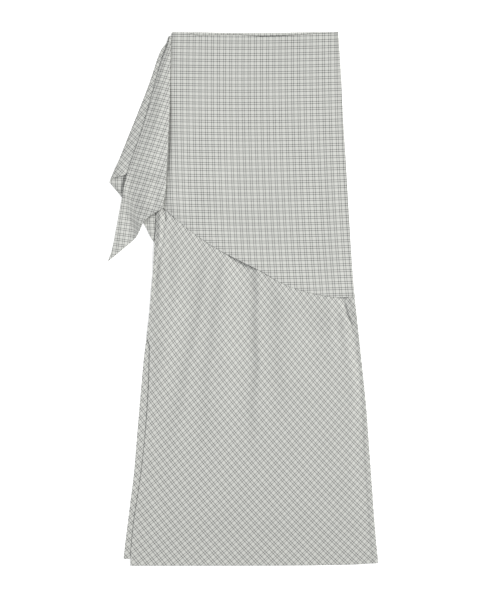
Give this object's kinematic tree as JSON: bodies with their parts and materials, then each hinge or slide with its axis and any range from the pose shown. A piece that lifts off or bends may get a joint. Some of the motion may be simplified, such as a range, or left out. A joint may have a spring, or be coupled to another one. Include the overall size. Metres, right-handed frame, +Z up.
{
  "type": "wrap skirt",
  "caption": "Maxi wrap skirt laid flat, with a bias-cut skirt under a short overlay that falls in a cascade from one waist corner.",
  "frame": {"origin": "on the surface that the skirt is laid on, under the middle of its bounding box", "axes": "+Y from hem to waist, +X to the right of the front as seen from above, +Z up off the surface"},
  "size_m": [0.5058, 0.9998, 0.0126],
  "materials": {
    "check_cloth": "matte"
  },
  "bodies": {
    "root": {"overlay_back": "check_cloth", "skirt_back": "check_cloth", "skirt_front": "check_cloth", "overlay_front": "check_cloth", "cascade_inner": "check_cloth", "cascade_top": "check_cloth"}
  },
  "joints": []
}
